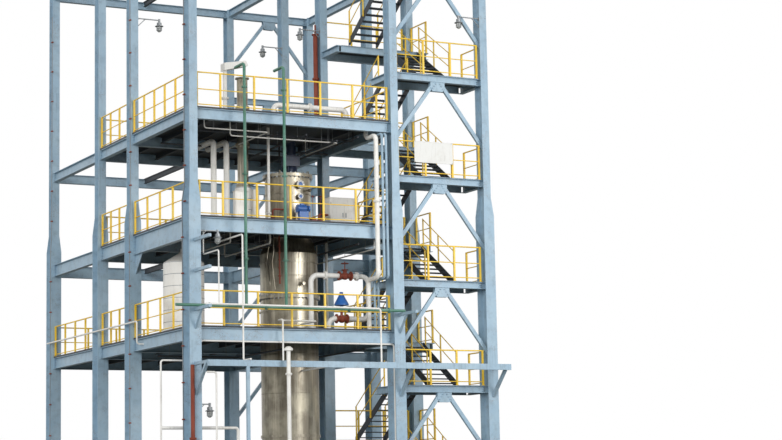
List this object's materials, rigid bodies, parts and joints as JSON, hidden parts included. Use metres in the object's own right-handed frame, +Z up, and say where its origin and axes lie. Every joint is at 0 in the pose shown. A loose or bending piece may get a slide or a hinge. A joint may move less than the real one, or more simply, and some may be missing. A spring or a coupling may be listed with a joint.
{
  "type": "distillation column in its steel frame",
  "caption": "Tall stainless distillation vessel standing in an open blue-grey steel frame with decks, yellow handrails, a stair bay, a side tank, condenser and pipework",
  "frame": {"origin": "the vessel's axis at ground level, on the underside of its plinth", "axes": "+X right along the front, +Y away from the front, +Z up along the vessel's axis"},
  "size_m": [12.28, 16.5628, 22.8239],
  "materials": {
    "structure_paint": "semi-gloss enamel, weathered",
    "deck_steel": "dark painted steel, dusty",
    "rail_yellow": "gloss enamel, chipped",
    "stainless": "brushed, stained",
    "concrete": null,
    "white_cladding": "painted sheet",
    "green_paint": "gloss enamel",
    "rust_paint": "red oxide, rusting",
    "galvanised": "hot dip zinc, dull",
    "blue_paint": "gloss enamel"
  },
  "bodies": {
    "root": {"base_plates": "structure_paint", "lower_columns": "structure_paint", "column_tapers": "structure_paint", "upper_columns": "structure_paint", "beams_level_1": "structure_paint", "beams_level_2": "structure_paint", "beams_level_3": "structure_paint", "top_ring_beams": "structure_paint", "landing_beams": "structure_paint", "stair_bay_braces": "structure_paint", "brace_gussets": "structure_paint", "deck_joists": "deck_steel", "deck_level_1": "deck_steel", "deck_level_2": "deck_steel", "deck_level_3": "deck_steel", "handrail_level_1": "rail_yellow", "handrail_level_2": "rail_yellow", "handrail_level_3": "rail_yellow", "landing_plates": "deck_steel", "landing_handrails": "rail_yellow", "stair_stringers": "deck_steel", "stair_treads": "deck_steel", "stair_handrails": "rail_yellow", "vessel_plinth": "concrete", "vessel_skirt": "stainless", "vessel_bottom_head": "stainless", "vessel_lower_shell": "stainless", "vessel_middle_shell": "stainless", "vessel_cone": "stainless", "vessel_upper_shell": "stainless", "vessel_cover": "stainless", "vessel_nozzles": "stainless", "side_tank_floor": "white_cladding", "side_tank_shell": "white_cladding", "side_tank_roof": "white_cladding", "condenser_drum": "white_cladding", "condenser": "stainless", "insulated_risers": "white_cladding", "green_pipes": "green_paint", "insulated_loop": "white_cladding", "pipe_support_beam": "structure_paint", "white_pipes": "white_cladding", "deck_pipes": "white_cladding", "rust_pipes": "rust_paint", "valves": "rust_paint", "valve_actuator": "blue_paint", "white_cabinet": "white_cladding", "motor_pump": "blue_paint", "vent_hood": "white_cladding", "lamps": "galvanised"}
  },
  "joints": []
}
